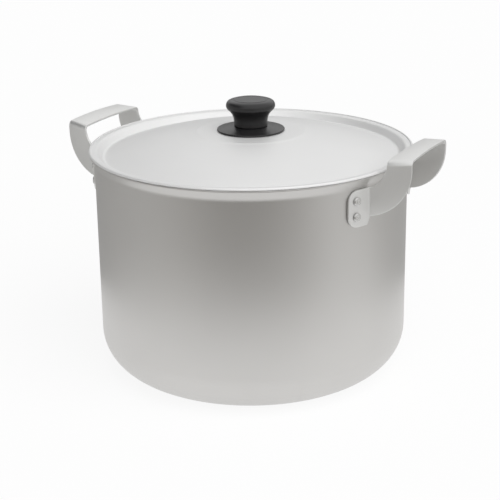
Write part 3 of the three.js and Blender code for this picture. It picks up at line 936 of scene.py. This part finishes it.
def handle_places(shell, handle, rivets):
    """Where the bends, the edges and the rivets of a strap lie, X being straight out from the pot."""
    at = SimpleNamespace()
    half = handle.sheet / 2
    at.tab_radius = shell.radius + handle.seat_gap + half
    at.tab_bend = handle.tab_bend + half
    at.bar_bend = handle.bar_bend + half
    at.bar_outside = shell.radius + handle.reach
    at.bar_inside = at.bar_outside - handle.bar_width
    at.inside_height = shell.height + handle.bar_rise - half
    at.outside_height = at.inside_height + handle.bar_width * math.tan(handle.bar_tilt)
    at.facing = Vector((math.sin(handle.toe_in), math.cos(handle.toe_in), 0))
    at.offset = at.bar_outside * at.facing.x + handle.bar_length / 2 * at.facing.y - half
    at.bend_angle = math.asin((at.offset + at.tab_bend) / (at.tab_radius + at.tab_bend)) - handle.toe_in
    at.tab_end = at.bend_angle + handle.tab_length / at.tab_radius
    at.bend_centre = (at.tab_radius + at.tab_bend) * Vector(
        (math.cos(at.bend_angle), math.sin(at.bend_angle), 0)
    )
    at.root = at.bend_centre.x - at.tab_bend * at.facing.x
    at.inner_centre = Vector((at.bar_inside - handle.arm_inner, at.inside_height))
    at.outer_centre = Vector(
        (at.bar_outside - handle.arm_outer, at.outside_height - at.bar_bend - handle.arm_straight)
    )
    at.root_top = at.inner_centre.y - math.sqrt(handle.arm_inner**2 - (at.root - at.inner_centre.x) ** 2)
    at.root_foot = at.outer_centre.y - math.sqrt(handle.arm_outer**2 - (at.root - at.outer_centre.x) ** 2)
    at.tab_top = flare_foot(shell) - handle.tab_gap
    at.tab_foot = at.root_foot - handle.tab_foot
    at.rivet_angle = at.tab_end - rivets.setback / at.tab_radius
    at.rivet_middle = (at.tab_top + at.tab_foot) / 2
    return at


def arm_edge(centre, radius, start, end, straight):
    """Points along one edge of an arm: an arc, then a straight stretch up to the bar."""
    arc = radius * (end - start)
    points = []
    for i in range(ARM_STEPS + 1):
        run = (arc + straight) * i / ARM_STEPS
        angle = start + min(run, arc) / radius
        rise = max(0, run - arc)
        points.append(
            Vector((centre.x + radius * math.cos(angle), centre.y + radius * math.sin(angle) + rise))
        )
    return points


def upright(foot, top, bottom):
    """A pair of points at two heights over one place."""
    return foot + Vector((0, 0, top)), foot + Vector((0, 0, bottom))


def strap_pairs(handle, at):
    """Pairs of points across half a strap, from the free end of its tab to the middle of its bar."""
    inner, outer = arm_edges(handle, at)
    return [*tab_pairs(handle, at), *arm_pairs(at, inner, outer), *bar_pairs(handle, at, inner[-1].x)]


def tab_pairs(handle, at):
    """Pairs across the tab, which lies along the wall, and across the bend from it to the arm."""
    pairs = []
    for along in (0, handle.tab_corner + TAB_MARGIN, (handle.tab_corner + handle.tab_length) / 2):
        angle = at.tab_end - along / at.tab_radius
        foot = at.tab_radius * Vector((math.cos(angle), math.sin(angle), 0))
        pairs.append(upright(foot, at.tab_top, at.tab_foot))
    arm_angle = math.pi / 2 - handle.toe_in
    for i in range(BEND_STEPS + 1):
        part = i / BEND_STEPS
        angle = at.bend_angle + (arm_angle - at.bend_angle) * part
        foot = at.bend_centre - at.tab_bend * Vector((math.cos(angle), math.sin(angle), 0))
        # A smooth step, level at both ends of the bend
        ease = part * part * (3 - 2 * part)
        top = at.tab_top + (at.root_top - at.tab_top) * ease
        bottom = at.tab_foot + (at.root_foot - at.tab_foot) * ease
        pairs.append(upright(foot, top, bottom))
    return pairs


def arm_edges(handle, at):
    """Points along the inner and the outer edge of an arm, as seen from its side."""
    inner = arm_edge(
        at.inner_centre,
        handle.arm_inner,
        math.atan2(at.root_top - at.inner_centre.y, at.root - at.inner_centre.x),
        -math.asin(at.bar_bend / handle.arm_inner),
        0,
    )
    outer = arm_edge(
        at.outer_centre,
        handle.arm_outer,
        math.atan2(at.root_foot - at.outer_centre.y, at.root - at.outer_centre.x),
        0,
        handle.arm_straight,
    )
    return inner, outer


def arm_side(at, x):
    """How far to the side the middle of the arm's sheet lies, at a distance out from the pot."""
    return (at.offset - x * at.facing.x) / at.facing.y


def arm_pairs(at, inner, outer):
    """Pairs across the arm, between its two bends."""
    return [
        tuple(Vector((point.x, arm_side(at, point.x), point.y)) for point in pair)
        for pair in zip(inner[1:-1], outer[1:-1])
    ]


def bar_pairs(handle, at, inside):
    """Pairs across the bend from the arm to the bar, and across the bar up to its middle."""

    def bar_start(x):
        return arm_side(at, x) - at.bar_bend

    pairs = []
    ends = ((inside, at.inside_height), (at.bar_outside, at.outside_height))
    for i in range(BEND_STEPS + 1):
        turn = i / BEND_STEPS * math.pi / 2
        out, drop = at.bar_bend * math.cos(turn), at.bar_bend * (1 - math.sin(turn))
        pairs.append(tuple(Vector((x, bar_start(x) + out, height - drop)) for x, height in ends))
    for i in range(1, BAR_STEPS + 1):
        part = 1 - i / BAR_STEPS
        rise = handle.bar_crown * (1 - part**2)
        pairs.append(tuple(Vector((x, part * bar_start(x), height + rise)) for x, height in ends))
    return pairs


def draw_strip(name, pairs):
    """Draw a strip of faces by extruding an edge from pair to pair."""
    piece = start_piece(name)
    inner, outer = pairs[0]
    bpy.ops.transform.translate(value=inner)
    bpy.ops.mesh.extrude_vertices_move(TRANSFORM_OT_translate={"value": outer - inner})
    pick_points(piece, inner, outer)
    for next_inner, next_outer in pairs[1:]:
        step = next_inner - inner
        bpy.ops.mesh.extrude_edges_move(TRANSFORM_OT_translate={"value": step})
        pick_points(piece, outer + step)
        bpy.ops.transform.translate(value=next_outer - outer - step)
        pick_points(piece, next_inner, next_outer)
        inner, outer = next_inner, next_outer
    return piece


class COOKINGPOT_OT_handles(bpy.types.Operator):
    """Bend the two strap handles: tabs, toed-in arms and a crowned bar"""

    bl_idname = "cooking_pot.handles"
    bl_label = "Handles"
    bl_options = {"REGISTER", "UNDO"}

    def execute(self, context):
        scene = context.scene
        handle = scene.pot_handles
        at = handle_places(scene.pot_shell, handle, scene.pot_rivets)
        right = self.bend_strap("handle_strap_right", handle, strap_pairs(handle, at))
        left = copy_piece(right, "handle_strap_left", (0, 0, math.pi))
        material = handle_aluminium(scene.pot_finishes)
        finish_piece(right, "pot", "handle_right", material)
        finish_piece(left, "pot", "handle_left", material)
        return {"FINISHED"}

    def bend_strap(self, name, handle, pairs):
        """One strap: half of it drawn, its tab rounded, mirrored, thickened and eased."""
        strap = draw_strip(name, pairs)
        pick_points(strap, *pairs[0])
        bpy.ops.mesh.bevel(
            offset=handle.tab_corner,
            segments=TAB_CORNER_FACES,
            profile=ROUND_PROFILE,
            affect="VERTICES",
        )
        leave_edit_mode()
        apply_modifier(strap, "MIRROR", use_axis=(False, True, False), merge_threshold=PLACE_MARGIN)
        apply_modifier(strap, "SOLIDIFY", thickness=handle.sheet, offset=0, use_even_offset=True)
        bpy.ops.object.mode_set(mode="EDIT")
        bpy.ops.mesh.select_all(action="SELECT")
        bpy.ops.mesh.normals_make_consistent(inside=False)
        leave_edit_mode()
        ease_edges(strap, handle.edge, EASED_FACES)
        return strap


class COOKINGPOT_OT_rivets(bpy.types.Operator):
    """Form one rivet and set a copy of it at each of its places"""

    bl_idname = "cooking_pot.rivets"
    bl_label = "Rivets"
    bl_options = {"REGISTER", "UNDO"}

    def execute(self, context):
        scene = context.scene
        shell, handle, rivets = scene.pot_shell, scene.pot_handles, scene.pot_rivets
        at = handle_places(shell, handle, rivets)
        first = self.form_rivet(shell, handle, rivets, at)
        material = rivet_aluminium(scene.pot_finishes)
        for hand, heading in (("right", 0), ("left", math.pi)):
            for arm, side in (("front", -1), ("back", 1)):
                turn = (0, math.pi / 2, side * math.cos(heading) * at.rivet_angle + heading)
                for row, offset in (("upper", rivets.spacing / 2), ("lower", -rivets.spacing / 2)):
                    place = f"{hand}_{arm}_{row}"
                    rivet = copy_piece(first, f"formed_rivet_{place}", turn, at.rivet_middle + offset)
                    finish_piece(rivet, "pot", f"rivet_{place}", material)
        bpy.data.objects.remove(first)
        return {"FINISHED"}

    def form_rivet(self, shell, handle, rivets, at):
        """One rivet about the upright axis: flat inside head, shank and formed head with a dimple."""
        inside = shell.radius - shell.sheet - rivets.sag
        outside = at.tab_radius + handle.sheet / 2 + handle.seat_gap
        flat = inside - rivets.flat_height
        formed = outside + rivets.formed_height
        piece = draw_line(
            "formed_rivet",
            [
                (0, flat, 0),
                (rivets.flat, flat, rivets.flat_round),
                (rivets.flat, inside, 0),
                (rivets.shank, inside, 0),
                (rivets.shank, outside, 0),
                (rivets.formed, outside, 0),
                (rivets.formed, formed, rivets.formed_round),
                (rivets.dimple, formed, rivets.dimple_depth),
                (0, formed - rivets.dimple_depth, 0),
            ],
        )
        spin_round(rivets.steps)
        leave_edit_mode()
        return piece


def stage_material(piece):
    """Give a piece of the studio an empty material, and give back its nodes, links and surface."""
    material = bpy.data.materials.new(piece.name)
    material.use_nodes = True
    nodes, links = material.node_tree.nodes, material.node_tree.links
    nodes.clear()
    piece.data.materials.append(material)
    return nodes, links, nodes.new("ShaderNodeOutputMaterial").inputs["Surface"]


def blend_shaders(nodes, links, share, shaders, surface):
    """Blend two shaders, with a share of the second, and lead them to a surface."""
    blend = nodes.new("ShaderNodeMixShader")
    links.new(share, blend.inputs["Fac"])
    for shader, socket in zip(shaders, blend.inputs[1:]):
        links.new(shader.outputs[0], socket)
    links.new(blend.outputs["Shader"], surface)


def mirror_only(piece):
    """Let a piece of the studio glow in reflections alone, and give back its nodes, links and glow."""
    piece.visible_camera = False
    piece.visible_diffuse = False
    piece.visible_shadow = False
    nodes, links, surface = stage_material(piece)
    glow = nodes.new("ShaderNodeEmission")
    links.new(glow.outputs["Emission"], surface)
    return nodes, links, glow


def seen_directly(nodes, links):
    """One for camera, glossy and transmission rays, and nothing for the rest."""
    path = nodes.new("ShaderNodeLightPath")
    mirrored = nodes.new("ShaderNodeMath")
    mirrored.operation = "MAXIMUM"
    seen = nodes.new("ShaderNodeMath")
    seen.operation = "MAXIMUM"
    links.new(path.outputs["Is Glossy Ray"], mirrored.inputs[0])
    links.new(path.outputs["Is Transmission Ray"], mirrored.inputs[1])
    links.new(path.outputs["Is Camera Ray"], seen.inputs[0])
    links.new(mirrored.outputs["Value"], seen.inputs[1])
    return seen.outputs["Value"]


class COOKINGPOT_OT_stage(bpy.types.Operator):
    """Set the camera, the pale floor, the light, the cove and the canopy of a plain studio"""

    bl_idname = "cooking_pot.stage"
    bl_label = "Studio"
    bl_options = {"REGISTER", "UNDO"}

    def execute(self, context):
        stage = context.scene.pot_stage
        context.scene.view_settings.view_transform = "Standard"
        self.place_camera(context, stage)
        self.lay_floor(context, stage)
        self.fill_room(context, stage)
        self.hang_light(context, stage)
        self.stand_cove(context, stage)
        self.hang_canopy(context, stage)
        return {"FINISHED"}

    def place_camera(self, context, stage):
        """The camera, a little above the pot and to the right of its front."""
        bpy.ops.object.camera_add(location=stage.camera_place)
        camera = context.active_object
        camera.name = "studio_camera"
        pitch, roll, heading = stage.camera_turn
        camera.rotation_euler = (pitch, 0, heading)
        camera.rotation_euler.rotate_axis("Z", roll)
        camera.data.lens = stage.lens
        camera.data.shift_x, camera.data.shift_y = stage.shift
        context.scene.camera = camera

    def lay_floor(self, context, stage):
        """A wide pale floor that shows nearly white to the camera and keeps a faint shadow."""
        bpy.ops.mesh.primitive_plane_add(size=FLOOR_SIZE, location=(0, 0, -FLOOR_DROP))
        floor = context.active_object
        floor.name = "studio_floor"
        nodes, links, surface = stage_material(floor)
        lit = nodes.new("ShaderNodeBsdfDiffuse")
        lit.inputs["Color"].default_value = (*stage.floor, 1)
        glow = nodes.new("ShaderNodeEmission")
        share = nodes.new("ShaderNodeMath")
        share.operation = "MULTIPLY"
        share.inputs[1].default_value = FLOOR_GLOW
        links.new(seen_directly(nodes, links), share.inputs[0])
        blend_shaders(nodes, links, share.outputs["Value"], (lit, glow), surface)

    def fill_room(self, context, stage):
        """A white room to the camera and in reflections, and a soft fill everywhere else."""
        world = context.scene.world or bpy.data.worlds.new("studio_room")
        context.scene.world = world
        world.use_nodes = True
        nodes, links = world.node_tree.nodes, world.node_tree.links
        nodes.clear()
        surface = nodes.new("ShaderNodeOutputWorld").inputs["Surface"]
        fill = nodes.new("ShaderNodeBackground")
        fill.inputs["Color"].default_value = WHITE
        fill.inputs["Strength"].default_value = stage.fill
        white = nodes.new("ShaderNodeBackground")
        white.inputs["Color"].default_value = WHITE
        blend_shaders(nodes, links, seen_directly(nodes, links), (fill, white), surface)

    def hang_light(self, context, stage):
        """One wide soft light from overhead, whose own disc no metal mirrors."""
        bpy.ops.object.light_add(type="SUN", rotation=stage.overhead_turn)
        light = context.active_object
        light.name = "overhead_light"
        light.data.energy = stage.overhead
        light.data.angle = stage.overhead_spread
        light.visible_glossy = False

    def stand_cove(self, context, stage):
        """A flared cove, grey before and behind the pot and paler at its sides, that only reflections see."""
        bpy.ops.object.select_all(action="DESELECT")
        heading = stage.cove_heading
        middle = (stage.cove_lead * math.sin(heading), -stage.cove_lead * math.cos(heading), COVE_FOOT)
        bpy.ops.mesh.primitive_circle_add(vertices=COVE_STEPS, radius=stage.cove_near, location=middle)
        cove = context.active_object
        cove.name = "studio_cove"
        bpy.ops.object.mode_set(mode="EDIT")
        bpy.ops.mesh.select_all(action="SELECT")
        bpy.ops.mesh.extrude_region_move(TRANSFORM_OT_translate={"value": (0, 0, stage.cove_height)})
        spread = stage.cove_far / stage.cove_near
        bpy.ops.transform.resize(value=(spread, spread, 1))
        leave_edit_mode()
        apply_place()
        nodes, links, glow = mirror_only(cove)
        place = nodes.new("ShaderNodeTexCoord")
        turn = nodes.new("ShaderNodeMapping")
        turn.inputs["Rotation"].default_value = (0, 0, math.pi / 2 - heading)
        split = nodes.new("ShaderNodeSeparateXYZ")
        angle = nodes.new("ShaderNodeMath")
        angle.operation = "ARCTAN2"
        part = nodes.new("ShaderNodeMapRange")
        part.inputs["From Min"].default_value = -math.pi
        part.inputs["From Max"].default_value = math.pi
        tones = nodes.new("ShaderNodeValToRGB")
        stops = tones.color_ramp.elements
        stops[0].position, stops[1].position = 0, 1
        stops[0].color = stops[1].color = (*COVE_BACK, 1)
        for degrees, tone in COVE_TONES:
            stops.new(degrees / 360 + 0.5).color = (*tone, 1)
        links.new(place.outputs["Object"], turn.inputs["Vector"])
        links.new(turn.outputs["Vector"], split.inputs["Vector"])
        links.new(split.outputs["Y"], angle.inputs[0])
        links.new(split.outputs["X"], angle.inputs[1])
        links.new(angle.outputs["Value"], part.inputs["Value"])
        links.new(part.outputs["Result"], tones.inputs["Fac"])
        links.new(tones.outputs["Color"], glow.inputs["Color"])

    def hang_canopy(self, context, stage):
        """A grey canopy high at the viewer's left that only reflections see."""
        bpy.ops.mesh.primitive_plane_add(size=1, location=stage.canopy_place, rotation=stage.canopy_turn)
        canopy = context.active_object
        canopy.name = "studio_canopy"
        canopy.scale = (*stage.canopy_size, 1)
        apply_place()
        _, _, glow = mirror_only(canopy)
        glow.inputs["Strength"].default_value = stage.canopy_tone


class COOKINGPOT_PT_panel(bpy.types.Panel):
    """The pieces of the pot and its studio, in the sidebar"""

    bl_idname = "COOKINGPOT_PT_panel"
    bl_label = "Cooking Pot"
    bl_space_type = "VIEW_3D"
    bl_region_type = "UI"
    bl_category = "Cooking Pot"

    def draw(self, context):
        column = self.layout.column(align=True)
        for operator in OPERATORS:
            column.operator(operator.bl_idname)
        for name in SETTINGS:
            box = self.layout.box()
            box.label(text=name.replace("_", " ").title())
            group = getattr(context.scene, name)
            for setting in group.__annotations__:
                box.prop(group, setting)


SETTINGS = {
    "pot_shell": ShellSettings,
    "pot_lid": LidSettings,
    "pot_knob": KnobSettings,
    "pot_fasteners": FastenerSettings,
    "pot_handles": HandleSettings,
    "pot_rivets": RivetSettings,
    "pot_finishes": FinishSettings,
    "pot_stage": StageSettings,
}
OPERATORS = (
    COOKINGPOT_OT_shell,
    COOKINGPOT_OT_lid,
    COOKINGPOT_OT_knob_head,
    COOKINGPOT_OT_knob_skirt,
    COOKINGPOT_OT_fasteners,
    COOKINGPOT_OT_handles,
    COOKINGPOT_OT_rivets,
    COOKINGPOT_OT_stage,
)


def register():
    """Register the settings, the operators and the panel."""
    for cls in (*SETTINGS.values(), *OPERATORS, COOKINGPOT_PT_panel):
        bpy.utils.register_class(cls)
    for name, cls in SETTINGS.items():
        setattr(bpy.types.Scene, name, PointerProperty(type=cls))


def unregister():
    """Take back what register did."""
    for name in SETTINGS:
        delattr(bpy.types.Scene, name)
    for cls in reversed((*SETTINGS.values(), *OPERATORS, COOKINGPOT_PT_panel)):
        bpy.utils.unregister_class(cls)


def main():
    """Make every piece and the studio."""
    register()
    bpy.ops.cooking_pot.shell()
    bpy.ops.cooking_pot.lid()
    bpy.ops.cooking_pot.knob_head()
    bpy.ops.cooking_pot.knob_skirt()
    bpy.ops.cooking_pot.fasteners()
    bpy.ops.cooking_pot.handles()
    bpy.ops.cooking_pot.rivets()
    bpy.ops.cooking_pot.stage()


if __name__ == "__main__":
    main()
